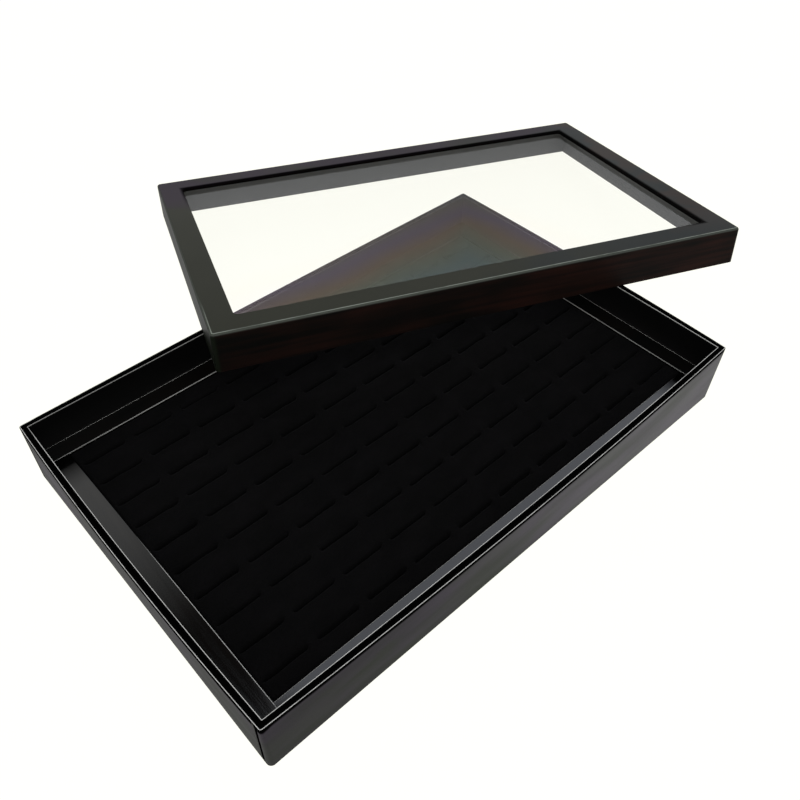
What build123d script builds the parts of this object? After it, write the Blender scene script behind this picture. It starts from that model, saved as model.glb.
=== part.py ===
from build123d import *
import math
import os

# Ring display box: a paper-wrapped tray with a ledge and a slotted velvet pad, and a loose lid
# with a clear window. Millimetres. The origin is the centre of the tray's underside, X runs along
# the tray's long side, Y along its short side and Z up. "Front" is -Y and "left" is -X.
#
# The box is open. The lid lies askew on the tray: its skirts lean on the tray's right and back
# rims, and its far corner stands on the table.

os.makedirs("parts", exist_ok=True)

# Papers, cards and boards
PAPER = 0.2             # textured black wrapping paper
WALL_BOARD = 1.5        # greyboard of the tray's walls
FLOOR_BOARD = 1.5       # greyboard of the tray's floor
LINER_BOARD = 1.2       # paper-faced board that lines each wall
LEDGE_CARD = 1.2        # card that the ledge is folded from
BACKING_CARD = 1.0      # card under the pad
LID_BOARD = 1.8         # greyboard of the lid's top and skirts

# Tray, outside over its paper
TRAY_LENGTH = 290.0
TRAY_DEPTH = 188.0
TRAY_HEIGHT = 35.0
RIM_CORNER = 1.2        # radius of the upright corners at the rim
FOOT_CORNER = 2.4       # radius of the same corners at the table
TRAY_EDGE = 0.4         # rounding of the rim's outer edge
TRAY_TURN_IN = 10.0     # how far the paper runs down inside the wall
CORNER_TAPE_LEG = 12.0  # each leg of the tape that holds two walls together

# How far the open tray's rims bow out at their middles. The walls are straight at the floor.
FRONT_BOW = 2.4
BACK_BOW = 0.8
LEFT_BOW = 2.1
RIGHT_BOW = 1.6
LINER_SLACK = 0.6       # how much less the liners bow than the walls

# Ledge round the pad
LEDGE_TOP = 16.7        # height of the ledge above the table
LEDGE_WIDTH = 9.8
LEDGE_EDGE = 0.3        # rounding of the ledge's long top edges
LEDGE_GAP = 0.1         # between two strips where they meet

# Pad
PAD_DROP = 0.5          # pad's surface below the ledge
PAD_GAP = 0.2           # pad to ledge, on each side
VELVET = 0.7            # velvet facing on the foam

# Ring slits: a grid of straight cuts with a spread mouth
SLIT_COLUMNS = 10
SLIT_ROWS = 10
SLIT_LENGTH = 22.0
SLIT_END_MARGIN = 2.1   # from the outer slits' ends to the pad's short sides
SLIT_ROW_MARGIN = 9.35  # from the outer slits to the pad's long sides
SLIT_WIDTH = 0.8
SLIT_DEPTH = 10.5
MOUTH_WIDTH = 2.8
MOUTH_DEPTH = 2.4

# Lid, in its own frame: closed, its open side at height 0
LID_GAP = 0.6           # lid's inside to tray's outside, on each side
LID_HEIGHT = 21.0
LID_CORNER = 2.0        # radius of the upright corners
LID_EDGE = 1.5          # rounding of the top's outer edge
WINDOW_BORDER = 14.0    # lid's outside to the window
WINDOW_CORNER = 3.0     # radius of the window's corners
WINDOW_TURN_IN = 8.0    # paper under the top board, round the window
FILM = 0.3              # clear film
FILM_LAP = 7.0          # film behind the border, on each side
FILM_TAPE = 0.15        # tape that holds the film to the border

# How the lid lies on the tray
LID_TURN = -21.9        # degrees about Z, from the tray's long side
LEAN_ON_RIGHT = 120.6   # tray's back right corner to the point of the right rim that is leant on
LEAN_ON_BACK = 188.4    # the same corner to the point of the back rim that is leant on
LEAN_GAP = 0.2          # air between the rims and the skirts' edges


def slab(length, depth, z_low, z_high, corner=0.0):
    """An upright block on the Z axis, with round upright corners if corner is given."""
    outline = RectangleRounded(length, depth, corner) if corner else Rectangle(length, depth)
    return extrude(Pos(0, 0, z_low) * outline, amount=z_high - z_low)


def ring(length, depth, wall, z_low, z_high, corner=0.0):
    """A slab's outer shell of a given wall, open at the top and the bottom."""
    inside = slab(length - 2 * wall, depth - 2 * wall, z_low, z_high)
    return slab(length, depth, z_low, z_high, corner) - inside


def edges_at(part, height):
    """The edges of a part that lie level at a given height."""
    return part.edges().filter_by_position(Axis.Z, height, height)


def four_sides(long_pair, short_pair):
    """Name the boards of two pairs by where they stand."""
    front, back = long_pair.solids().sort_by(Axis.Y)
    left, right = short_pair.solids().sort_by(Axis.X)
    return {"front": front, "back": back, "left": left, "right": right}


def butted_boards(shell, inside_depth):
    """Cut an upright shell into four boards. Front and back run the full length, and left and
    right stand between them."""
    box = shell.bounding_box()
    between = slab(2 * box.size.X, inside_depth, box.min.Z, box.max.Z)
    return four_sides(shell - between, shell & between)


# --- Tray --------------------------------------------------------------------------------------

WALL_LENGTH = TRAY_LENGTH - 2 * PAPER
WALL_DEPTH = TRAY_DEPTH - 2 * PAPER
WALL_TOP = TRAY_HEIGHT - PAPER
HOLLOW_LENGTH = WALL_LENGTH - 2 * WALL_BOARD
HOLLOW_DEPTH = WALL_DEPTH - 2 * WALL_BOARD
FLOOR_TOP = PAPER + FLOOR_BOARD
LINER_LENGTH = HOLLOW_LENGTH - 2 * PAPER
LINER_DEPTH = HOLLOW_DEPTH - 2 * PAPER


def bowed_outline(length, depth, corner, front, back, left, right):
    """A rectangle whose four sides are arcs that bow out at their middles."""
    x, y = length / 2, depth / 2
    sides = [
        ThreePointArc((-x, -y), (0, -y - front), (x, -y)),
        ThreePointArc((x, -y), (x + right, 0), (x, y)),
        ThreePointArc((x, y), (0, y + back), (-x, y)),
        ThreePointArc((-x, y), (-x - left, 0), (-x, -y)),
    ]
    outline = make_face(sides)
    return fillet(outline.vertices(), corner) if corner else outline


def bowed_slab(length, depth, z_low, z_high, slack=0.0, inset=None):
    """A slab whose sides are straight at the tray's floor and bow out towards its rim. Its
    upright corners are sharp, or follow the tray's at a given inset."""
    bows = [bow - slack for bow in (FRONT_BOW, BACK_BOW, LEFT_BOW, RIGHT_BOW)]
    if inset is None:
        foot, rim_corner = Rectangle(length, depth), 0.0
    else:
        foot = RectangleRounded(length, depth, FOOT_CORNER - inset)
        rim_corner = RIM_CORNER - inset
    rim = bowed_outline(length, depth, rim_corner, *bows)
    full = loft([Pos(0, 0, PAPER) * foot, Pos(0, 0, TRAY_HEIGHT) * rim], ruled=True)
    return full & slab(2 * length, 2 * depth, z_low, z_high)


def bowed_ring(length, depth, wall, z_low, z_high, slack=0.0, inset=None):
    """A bowed slab's outer shell of a given wall, open at the top and the bottom."""
    inside = bowed_slab(length - 2 * wall, depth - 2 * wall, z_low, z_high, slack)
    return bowed_slab(length, depth, z_low, z_high, slack, inset) - inside


def base_paper():
    """The sheet that closes the underside."""
    return slab(TRAY_LENGTH, TRAY_DEPTH, 0, PAPER, FOOT_CORNER)


def floor_board():
    """The greyboard floor, between the walls."""
    return slab(HOLLOW_LENGTH, HOLLOW_DEPTH, PAPER, FLOOR_TOP)


def wall_shell():
    """The greyboard of all four walls."""
    return bowed_ring(WALL_LENGTH, WALL_DEPTH, WALL_BOARD, PAPER, WALL_TOP, inset=PAPER)


def tray_walls():
    """The four greyboard walls."""
    return butted_boards(wall_shell(), HOLLOW_DEPTH)


def tray_wrap():
    """The paper round the walls, over their top edge and down inside them."""
    outside = bowed_slab(TRAY_LENGTH, TRAY_DEPTH, PAPER, TRAY_HEIGHT, inset=0.0)
    outside = fillet(edges_at(outside, TRAY_HEIGHT), TRAY_EDGE)
    inside = bowed_slab(LINER_LENGTH, LINER_DEPTH, PAPER, TRAY_HEIGHT)
    below_turn_in = bowed_slab(HOLLOW_LENGTH, HOLLOW_DEPTH, PAPER, TRAY_HEIGHT - TRAY_TURN_IN)
    return outside - wall_shell() - inside - below_turn_in


def corner_tapes():
    """The four folded tapes that hold the walls together, under the liners."""
    shell = bowed_ring(
        HOLLOW_LENGTH, HOLLOW_DEPTH, PAPER, FLOOR_TOP, TRAY_HEIGHT - TRAY_TURN_IN
    )
    legs = Sketch() + [
        place * Rectangle(2 * CORNER_TAPE_LEG, 2 * CORNER_TAPE_LEG)
        for place in GridLocations(HOLLOW_LENGTH, HOLLOW_DEPTH, 2, 2)
    ]
    return shell & extrude(legs, amount=TRAY_HEIGHT)


def liners():
    """The boards that line the walls. They follow the bow of the walls only in part."""
    shell = bowed_ring(
        LINER_LENGTH, LINER_DEPTH, LINER_BOARD, FLOOR_TOP, TRAY_HEIGHT, LINER_SLACK
    )
    return butted_boards(shell, LINER_DEPTH - 2 * LINER_BOARD)


# --- Ledge and pad -----------------------------------------------------------------------------

LEDGE_LENGTH = LINER_LENGTH - 2 * LINER_BOARD
LEDGE_DEPTH = LINER_DEPTH - 2 * LINER_BOARD
PAD_LENGTH = LEDGE_LENGTH - 2 * (LEDGE_WIDTH + PAD_GAP)
PAD_DEPTH = LEDGE_DEPTH - 2 * (LEDGE_WIDTH + PAD_GAP)
PAD_TOP = LEDGE_TOP - PAD_DROP
FOAM_LOW = FLOOR_TOP + BACKING_CARD
FOAM_TOP = PAD_TOP - VELVET
SLIT_PITCH_X = (PAD_LENGTH - SLIT_LENGTH - 2 * SLIT_END_MARGIN) / (SLIT_COLUMNS - 1)
SLIT_PITCH_Y = (PAD_DEPTH - 2 * SLIT_ROW_MARGIN) / (SLIT_ROWS - 1)


def ledge_strip(run):
    """A strip of card along X, folded to a channel that is open below, with soft long edges."""
    strip = slab(run, LEDGE_WIDTH, FLOOR_TOP, LEDGE_TOP)
    strip = fillet(edges_at(strip, LEDGE_TOP).filter_by(Axis.X), LEDGE_EDGE)
    folded_in = slab(run, LEDGE_WIDTH - 2 * LEDGE_CARD, FLOOR_TOP, LEDGE_TOP - LEDGE_CARD)
    return strip - folded_in


def ledges():
    """The ledge. Its back strip runs the full length, the left and right ones run from the
    front wall to it, and the front one lies between those two."""
    step = LEDGE_WIDTH + LEDGE_GAP
    long_strip, short_strip = ledge_strip(LEDGE_LENGTH), ledge_strip(LEDGE_LENGTH - 2 * step)
    side_strip = Rot(0, 0, 90) * ledge_strip(LEDGE_DEPTH - step)
    across = (LEDGE_DEPTH - LEDGE_WIDTH) / 2
    aside = (LEDGE_LENGTH - LEDGE_WIDTH) / 2
    return {
        "front": Pos(0, -across, 0) * short_strip,
        "back": Pos(0, across, 0) * long_strip,
        "left": Pos(-aside, -step / 2, 0) * side_strip,
        "right": Pos(aside, -step / 2, 0) * side_strip,
    }


def ring_slits():
    """The cutters of all ring slits: a thin cut whose mouth spreads towards the pad's surface."""
    section = Polygon(
        (-MOUTH_WIDTH / 2, 0),
        (MOUTH_WIDTH / 2, 0),
        (SLIT_WIDTH / 2, -MOUTH_DEPTH),
        (SLIT_WIDTH / 2, -SLIT_DEPTH),
        (-SLIT_WIDTH / 2, -SLIT_DEPTH),
        (-SLIT_WIDTH / 2, -MOUTH_DEPTH),
        align=None,
    )
    cutter = extrude(Plane.YZ * section, amount=SLIT_LENGTH / 2, both=True)
    grid = GridLocations(SLIT_PITCH_X, SLIT_PITCH_Y, SLIT_COLUMNS, SLIT_ROWS)
    return [Pos(0, 0, PAD_TOP) * place * cutter for place in grid]


def backing_card():
    """The card that the foam is glued to."""
    return slab(PAD_LENGTH, PAD_DEPTH, FLOOR_TOP, FOAM_LOW)


def foam_pad():
    """The foam, with every slit cut into it."""
    return slab(PAD_LENGTH, PAD_DEPTH, FOAM_LOW, FOAM_TOP) - ring_slits()


def velvet_facing():
    """The velvet on the foam, with the slits' mouths cut through it."""
    return slab(PAD_LENGTH, PAD_DEPTH, FOAM_TOP, PAD_TOP) - ring_slits()


# --- Lid ---------------------------------------------------------------------------------------

LID_WALL = 2 * PAPER + LID_BOARD
LID_LENGTH = TRAY_LENGTH + 2 * (LID_GAP + LID_WALL)
LID_DEPTH = TRAY_DEPTH + 2 * (LID_GAP + LID_WALL)
LID_BOARD_LENGTH = LID_LENGTH - 2 * PAPER
LID_BOARD_DEPTH = LID_DEPTH - 2 * PAPER
CAVITY_LENGTH = LID_LENGTH - 2 * LID_WALL
CAVITY_DEPTH = LID_DEPTH - 2 * LID_WALL
WINDOW_LENGTH = LID_LENGTH - 2 * WINDOW_BORDER
WINDOW_DEPTH = LID_DEPTH - 2 * WINDOW_BORDER
LID_BOARD_TOP = LID_HEIGHT - PAPER
LID_BOARD_LOW = LID_BOARD_TOP - LID_BOARD
TURN_IN_LOW = LID_BOARD_LOW - PAPER
FILM_TOP = TURN_IN_LOW - FILM_TAPE


def lid_top_board():
    """The top board, die-cut for the window, with a round outer edge."""
    board = slab(LID_BOARD_LENGTH, LID_BOARD_DEPTH, LID_BOARD_LOW, LID_BOARD_TOP, LID_CORNER - PAPER)
    board = fillet(edges_at(board, LID_BOARD_TOP), LID_EDGE - PAPER)
    window_cut = slab(
        WINDOW_LENGTH + 2 * PAPER,
        WINDOW_DEPTH + 2 * PAPER,
        LID_BOARD_LOW,
        LID_BOARD_TOP,
        WINDOW_CORNER + PAPER,
    )
    return board - window_cut


def skirt_shell():
    """The greyboard of all four skirts."""
    corner = LID_CORNER - PAPER
    return ring(LID_BOARD_LENGTH, LID_BOARD_DEPTH, LID_BOARD, PAPER, LID_BOARD_LOW, corner)


def lid_skirts():
    """The four skirts under the top board."""
    return butted_boards(skirt_shell(), LID_BOARD_DEPTH - 2 * LID_BOARD)


def lid_wrap():
    """The paper over the lid's boards. It runs up inside the skirts and round the window's edge."""
    outside = slab(LID_LENGTH, LID_DEPTH, 0, LID_HEIGHT, LID_CORNER)
    outside = fillet(edges_at(outside, LID_HEIGHT), LID_EDGE)
    cavity = slab(CAVITY_LENGTH, CAVITY_DEPTH, 0, TURN_IN_LOW)
    bare_underside = ring(
        CAVITY_LENGTH,
        CAVITY_DEPTH,
        (CAVITY_LENGTH - WINDOW_LENGTH) / 2 - WINDOW_TURN_IN,
        TURN_IN_LOW,
        LID_BOARD_LOW,
    )
    window = slab(WINDOW_LENGTH, WINDOW_DEPTH, 0, LID_HEIGHT, WINDOW_CORNER)
    return outside - skirt_shell() - lid_top_board() - cavity - bare_underside - window


def window_film():
    """The clear film behind the window."""
    length, depth = WINDOW_LENGTH + 2 * FILM_LAP, WINDOW_DEPTH + 2 * FILM_LAP
    return slab(length, depth, FILM_TOP - FILM, FILM_TOP)


def film_tapes():
    """The four strips of tape between the border and the film."""
    frame = ring(
        WINDOW_LENGTH + 2 * FILM_LAP, WINDOW_DEPTH + 2 * FILM_LAP, FILM_LAP, FILM_TOP, TURN_IN_LOW
    )
    return Compound(list(butted_boards(frame, WINDOW_DEPTH).values()))


def rim_bow(bow, from_middle, half_side):
    """How far a bowed rim stands out at a place along it."""
    return bow * (1 - (from_middle / half_side) ** 2)


def lean(parts):
    """Lay the lid's parts on the tray, by name.

    The points leant on are level, so the lid turns about the line between them until its far
    corner meets the table.
    """
    height = TRAY_HEIGHT + LEAN_GAP
    half_length, half_depth = TRAY_LENGTH / 2, TRAY_DEPTH / 2
    y_right = half_depth - LEAN_ON_RIGHT
    x_back = half_length - LEAN_ON_BACK
    on_right = Vector(half_length + rim_bow(RIGHT_BOW, y_right, half_depth), y_right, height)
    on_back = Vector(x_back, half_depth + rim_bow(BACK_BOW, x_back, half_length), height)
    hinge_line = Axis(on_back, on_right - on_back)

    # Level and turned: the front skirt's inner edge passes over one point, the left one's over
    # the other.
    along = Vector(1, 0, 0).rotate(Axis.Z, LID_TURN)
    across = Vector(0, 1, 0).rotate(Axis.Z, LID_TURN)
    from_left_skirt = (on_right - on_back).dot(along)
    centre = (
        on_right
        + along * (CAVITY_LENGTH / 2 - from_left_skirt)
        + across * (CAVITY_DEPTH / 2)
    )
    far_corner = centre + along * (LID_LENGTH / 2) + across * (LID_DEPTH / 2)
    reach = (far_corner - on_back).cross(hinge_line.direction).length
    tilt = -math.degrees(math.asin(height / reach))

    level = Pos(*centre) * Rot(0, 0, LID_TURN)
    return {name: (level * part).rotate(hinge_line, tilt) for name, part in parts.items()}


# --- All pieces --------------------------------------------------------------------------------

tray = {
    "base_paper": base_paper(),
    "floor_board": floor_board(),
    "tray_wrap": tray_wrap(),
    "corner_tapes": corner_tapes(),
    "pad_backing_card": backing_card(),
    "foam_pad": foam_pad(),
    "velvet_facing": velvet_facing(),
}
for group, sides in (("wall", tray_walls()), ("liner", liners()), ("ledge", ledges())):
    for side, board in sides.items():
        tray[f"{group}_{side}"] = board

lid = {
    "lid_top_board": lid_top_board(),
    "lid_wrap": lid_wrap(),
    "window_film": window_film(),
    "film_tapes": film_tapes(),
}
for side, board in lid_skirts().items():
    lid[f"lid_skirt_{side}"] = board

for name, shape in {**tray, **lean(lid)}.items():
    export_step(shape, f"parts/{name}.step")
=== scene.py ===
import logging
import math
from dataclasses import dataclass, field, replace
from enum import Enum
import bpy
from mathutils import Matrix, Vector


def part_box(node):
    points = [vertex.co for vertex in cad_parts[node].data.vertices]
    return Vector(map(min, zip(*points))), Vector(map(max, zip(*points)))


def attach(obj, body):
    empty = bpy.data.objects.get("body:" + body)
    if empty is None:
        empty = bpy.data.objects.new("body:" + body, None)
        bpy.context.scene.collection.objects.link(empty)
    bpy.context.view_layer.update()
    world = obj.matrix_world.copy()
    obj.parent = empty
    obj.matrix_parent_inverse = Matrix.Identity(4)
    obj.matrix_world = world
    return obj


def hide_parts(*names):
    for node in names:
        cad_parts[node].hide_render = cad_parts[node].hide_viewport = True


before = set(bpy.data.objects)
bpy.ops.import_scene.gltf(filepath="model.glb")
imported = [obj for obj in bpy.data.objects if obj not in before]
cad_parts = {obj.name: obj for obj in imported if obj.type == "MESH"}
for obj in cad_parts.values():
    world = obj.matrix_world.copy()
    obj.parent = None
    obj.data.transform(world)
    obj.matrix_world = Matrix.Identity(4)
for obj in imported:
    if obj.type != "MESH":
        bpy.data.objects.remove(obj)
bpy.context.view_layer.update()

from types import SimpleNamespace
from typing import Any, Callable, ClassVar, Union

import bpy
import numpy as np
from bpy.types import Material, Node, NodeSocket, NodeTree, Object
from mathutils import Matrix, Vector

# The looks of an open ring display box: a tray wrapped in black paper, with a ledge and a slotted
# velvet pad, and a lid of the same paper with a clear window. The CAD nodes keep their shapes. The
# pad is a mesh of its own, with soft lips at every slit.

LOG = logging.getLogger("ring_box")
MM = 0.001  # one millimetre, in the scene's metres
QUARTER_TURN = 0.5 * math.pi
CLOSE = 0.01  # as good as no distance, in millimetres or in steps of a grid
LINE_SOFTNESS = 0.08  # half the width of a rubbed line's soft border, in millimetres
NEAR_A_SIDE = (9.0, 5.0)  # millimetres from a side where a change in its rubbed line and painted highlight begins, and where it is full
MATT = {"Roughness": 0.9, "Specular IOR Level": 0.0}  # how rubbed paper takes light, and paper that carries painted shade or a painted highlight

Pair = tuple[float, float]
Triple = tuple[float, float, float]
Colour = Triple


class Side(Enum):
    """The four sides of the tray and of the lid, as their pieces are named."""

    FRONT = "front"
    BACK = "back"
    LEFT = "left"
    RIGHT = "right"


class Axis(Enum):
    """A direction of the frame."""

    X = "x"
    Y = "y"


# --- Nodes ---


def operator(operation: str, order: int = 1) -> Callable[["Value", "Term"], "Value"]:
    """Make a Math operation one of Python's operators. Order is -1 where the value comes second."""
    return lambda value, other: value.graph.math(operation, *(value, other)[::order])


class Value:
    """A number that a node gives. Python's operators on it add the nodes that work them out."""

    __add__, __radd__ = operator("ADD"), operator("ADD", -1)
    __sub__, __rsub__ = operator("SUBTRACT"), operator("SUBTRACT", -1)
    __mul__, __rmul__ = operator("MULTIPLY"), operator("MULTIPLY", -1)
    __truediv__, __rtruediv__ = operator("DIVIDE"), operator("DIVIDE", -1)
    __pow__ = operator("POWER")
    at_least, at_most = operator("MAXIMUM"), operator("MINIMUM")

    def __init__(self, graph: "Graph", socket: NodeSocket) -> None:
        """Wrap an output socket of a node in graph."""
        self.graph = graph
        self.socket = socket

    def __abs__(self) -> "Value":
        """Drop the sign."""
        return self.graph.math("ABSOLUTE", self)

    def clamped(self) -> "Value":
        """This value, kept from 0 to 1."""
        return self.at_least(0.0).at_most(1.0)

    def step(self, start: "Term", end: "Term") -> "Value":
        """A soft step: 0 at start, 1 at end. For a step that falls, start is above end."""
        share = ((self - start) / (end - start)).clamped()
        return share * share * (3.0 - 2.0 * share)

    def __getattr__(self, name: str) -> "Value":
        """A Math operation on this value alone, by its name, such as value.floor."""
        if name.startswith("_"):
            raise AttributeError(name)
        return self.graph.math(name.upper(), self)


Term = Union[Value, float]
WearAndLight = tuple[Value, Value] | None  # how matt and how pale a finish is, where it is worn and where shade or a highlight is painted
Direction = tuple[Value, Value, Value]


class Graph:
    """A node tree, and what is needed to fill it."""

    def __init__(self, tree: NodeTree) -> None:
        """Take a tree and clear it."""
        self.tree = tree
        tree.nodes.clear()

    def node(
        self, kind: str, sockets: dict | None = None, settings: dict | None = None
    ) -> Node:
        """Add a node.

        Args:
            kind: The node's type, as Blender names it.
            sockets: What goes into its input sockets, by name or number: values or sockets.
            settings: Properties, by name, which are set first.

        Returns:
            The node.
        """
        made = self.tree.nodes.new(kind)
        for name, value in (settings or {}).items():
            setattr(made, name, value)
        for name, value in (sockets or {}).items():
            target = made.inputs[name]
            source = value.socket if isinstance(value, Value) else value
            if isinstance(source, NodeSocket):
                self.tree.links.new(source, target)
            else:
                target.default_value = source
        return made

    def value(self, node: Node, output: str | int = 0) -> Value:
        """Wrap one of a node's outputs."""
        return Value(self, node.outputs[output])

    def math(self, operation: str, *terms: Term) -> Value:
        """Add a Math node, by its operation's name in Blender, and give its result."""
        sockets = dict(enumerate(terms))
        return self.value(self.node("ShaderNodeMath", sockets, {"operation": operation}))

    def vector(self, x: Term, y: Term, z: Term) -> NodeSocket:
        """Three numbers as one vector."""
        return self.node("ShaderNodeCombineXYZ", {0: x, 1: y, 2: z}).outputs[0]

    def split(self, vector: NodeSocket) -> Direction:
        """A vector's three numbers."""
        made = self.node("ShaderNodeSeparateXYZ", {0: vector})
        return self.value(made, 0), self.value(made, 1), self.value(made, 2)

    def mix(self, share: Term, first: Any, second: Any) -> NodeSocket:
        """Blend two colours, or sockets of colours: 0 gives the first and 1 the second."""
        sockets = {0: share, 6: opaque(first), 7: opaque(second)}
        return self.node("ShaderNodeMix", sockets, {"data_type": "RGBA"}).outputs[2]

    def noise_at(self, place: NodeSocket, detail: float, rough: float = 0.5) -> Value:
        """Soft noise from 0 to 1, with blotches of about one unit at a place."""
        sockets = {"Vector": place, "Scale": 1.0, "Detail": detail, "Roughness": rough}
        return self.value(self.node("ShaderNodeTexNoise", sockets, {"noise_dimensions": "3D"}))


class ShaderGraph(Graph):
    """A material's tree, with patterns in millimetres in the frame of one sub-assembly."""

    def __init__(self, material: Material, seat: "Seat") -> None:
        """Start a material's tree.

        Args:
            material: The material that is filled.
            seat: The frame in which its patterns lie.
        """
        material.use_nodes = True
        super().__init__(material.node_tree)
        seated = {
            "Vector": self.node("ShaderNodeTexCoord").outputs["Object"],
            "Location": seat.origin,
            "Rotation": seat.axes.to_euler(),
            "Scale": (MM, MM, MM),
        }
        place = self.node("ShaderNodeMapping", seated, {"vector_type": "TEXTURE"}).outputs[0]
        self.x, self.y, self.z = self.split(place)

    def shrunk(self, reach: Triple | float) -> NodeSocket:
        """The place in units of reach, which is one length or three, in millimetres."""
        x, y, z = reach if isinstance(reach, tuple) else (reach,) * 3
        return self.vector(self.x / x, self.y / y, self.z / z)

    def noise(self, reach: Triple | float, detail: float = 3.0, rough: float = 0.5) -> Value:
        """Soft noise from 0 to 1, with blotches as large as reach, in millimetres."""
        return self.noise_at(self.shrunk(reach), detail, rough)

    def cells(self, reach: float) -> Value:
        """The distance to the nearest of scattered points about reach millimetres apart."""
        sockets = {"Vector": self.shrunk(reach), "Scale": 1.0}
        return self.value(self.node("ShaderNodeTexVoronoi", sockets), "Distance")

    def ramp(self, share: Term, stops: tuple[tuple[float, Colour], ...]) -> NodeSocket:
        """A colour that follows a value.

        Args:
            share: The value, from 0 to 1.
            stops: Values and the colours that belong to them.

        Returns:
            The colour's socket.
        """
        made = self.node("ShaderNodeValToRGB", {0: share})
        elements = made.color_ramp.elements
        while len(elements) < len(stops):
            elements.new(1.0)
        for element, (place, colour) in zip(elements, stops):
            element.position, element.color = place, opaque(colour)
        return made.outputs[0]

    def bump(self, height: Value, depth: float, strength: float = 1.0) -> NodeSocket:
        """A relief where a height of 1 is depth millimetres. Strength is how much of it shows."""
        sockets = {"Height": height, "Distance": depth * MM, "Strength": strength}
        return self.node("ShaderNodeBump", sockets).outputs[0]

    def fray(self, reach: float, depth: float = 0.3) -> Value:
        """How whole a rubbed line is, from 1 - depth to 1, in blotches of reach millimetres."""
        blotches = self.noise(reach, detail=4.0, rough=0.7)
        return (1.0 - depth) + depth * blotches.step(0.35, 0.5)

    def principled(self, sockets: dict[str, Any]) -> Node:
        """Add a Principled BSDF with what goes into its sockets."""
        return self.node("ShaderNodeBsdfPrincipled", sockets)

    def blend(self, share: Term, first: Node, second: Node) -> Node:
        """Mix two shaders, with share of the second."""
        sockets = {0: share, 1: first.outputs[0], 2: second.outputs[0]}
        return self.node("ShaderNodeMixShader", sockets)

    def surface(self, shader: Node) -> None:
        """Show a shader as the material's surface."""
        self.node("ShaderNodeOutputMaterial", {"Surface": shader.outputs[0]})


def opaque(colour: Any) -> Any:
    """Three numbers as a colour with an alpha of 1. A socket is left as it is."""
    return (*colour, 1.0) if isinstance(colour, tuple) and len(colour) == 3 else colour


def stripe(distance: Value, half_width: float) -> Value:
    """A line with soft edges: 1 within half_width millimetres of its middle, and 0 beside it."""
    return abs(distance).step(half_width + LINE_SOFTNESS, half_width - LINE_SOFTNESS)


@dataclass(frozen=True)
class Seat:
    """The frame of a sub-assembly: its origin, and its axes as a matrix's columns."""

    origin: Vector
    axes: Matrix

    @classmethod
    def upright(cls) -> "Seat":
        """The frame of what stands level: the scene's own."""
        return cls(Vector(), Matrix.Identity(3))

    @classmethod
    def of_lid(cls, film: str, wrap: str) -> "Seat":
        """The lid's frame: X along its long side, Z out of its top, its open side at height 0.

        Args:
            film: The flat sheet whose long side, short side and thickness give the axes.
            wrap: The node whose lowest point gives the height of the open side.

        Returns:
            The frame.
        """
        corners = mesh_points(film)
        centre = corners.mean(axis=0)
        long_side, _, thickness = np.linalg.svd(corners - centre, full_matrices=False)[2]
        z = Vector(thickness * math.copysign(1.0, thickness[2]))
        x = Vector(long_side * math.copysign(1.0, long_side[0]))
        y = z.cross(x)
        low = float(((mesh_points(wrap) - centre) @ np.array(z)).min())
        return cls(Vector(centre) + z * low, Matrix((x, y, z)).transposed())


def mesh_points(node: str) -> np.ndarray:
    """The different points of a CAD node's mesh."""
    points = [vertex.co[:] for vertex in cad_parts[node].data.vertices]
    return np.unique(np.round(np.array(points), 7), axis=0)


# --- Finishes ---


@dataclass(frozen=True)
class Finish:
    """A finish, which makes one material. Colours are linear."""

    name: str

    def material(self, seat: Seat) -> Material:
        """Make the material, with its patterns in a sub-assembly's frame."""
        made = bpy.data.materials.new(self.name)
        self.build(ShaderGraph(made, seat))
        return made

    def build(self, graph: ShaderGraph) -> None:
        """Fill the material's tree."""
        raise NotImplementedError


@dataclass(frozen=True)
class Outline:
    """A box-shaped body whose sides may bow out towards its rim. Millimetres, in its own frame."""

    half_length: float
    half_depth: float
    height: float
    corner: float = 2.0
    left_bow: float = 0.0
    right_bow: float = 0.0
    front_bow: float = 0.0
    back_bow: float = 0.0

    def shares(self, graph: ShaderGraph) -> tuple[Value, Value]:
        """How far a point is along and across, from -1 to 1."""
        return graph.x / self.half_length, graph.y / self.half_depth

    def below(self, graph: ShaderGraph) -> Value:
        """How far a point is below the top."""
        return self.height - graph.z

    def rubbing_and_highlight(self, graph: ShaderGraph) -> Value:
        """1 on the rims, and little near the far corner on the right: rubbed wear, and a painted
        highlight that fades towards the far corner.
        """
        along, across = self.shares(graph)
        return 1.0 - 0.8 * (along + across).step(0.65, 1.05)

    def to_outside(self, graph: ShaderGraph) -> Value:
        """How far a point is inside the nearest outer face."""
        lift = graph.z / self.height
        on_right, at_back = (graph.x.sign + 1.0) * 0.5, (graph.y.sign + 1.0) * 0.5
        bow_x = self.left_bow + (self.right_bow - self.left_bow) * on_right
        bow_y = self.front_bow + (self.back_bow - self.front_bow) * at_back
        along, across = self.shares(graph)
        out_x = bow_x * lift * (1.0 - across ** 2.0)
        out_y = bow_y * lift * (1.0 - along ** 2.0)
        from_side = self.half_length + out_x - abs(graph.x)
        from_end = self.half_depth + out_y - abs(graph.y)
        round_x = (self.corner - from_side).at_least(0.0)
        round_y = (self.corner - from_end).at_least(0.0)
        rounded = self.corner - (round_x ** 2.0 + round_y ** 2.0).sqrt
        return rounded + (from_side.at_most(from_end) - self.corner).at_least(0.0)


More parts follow.
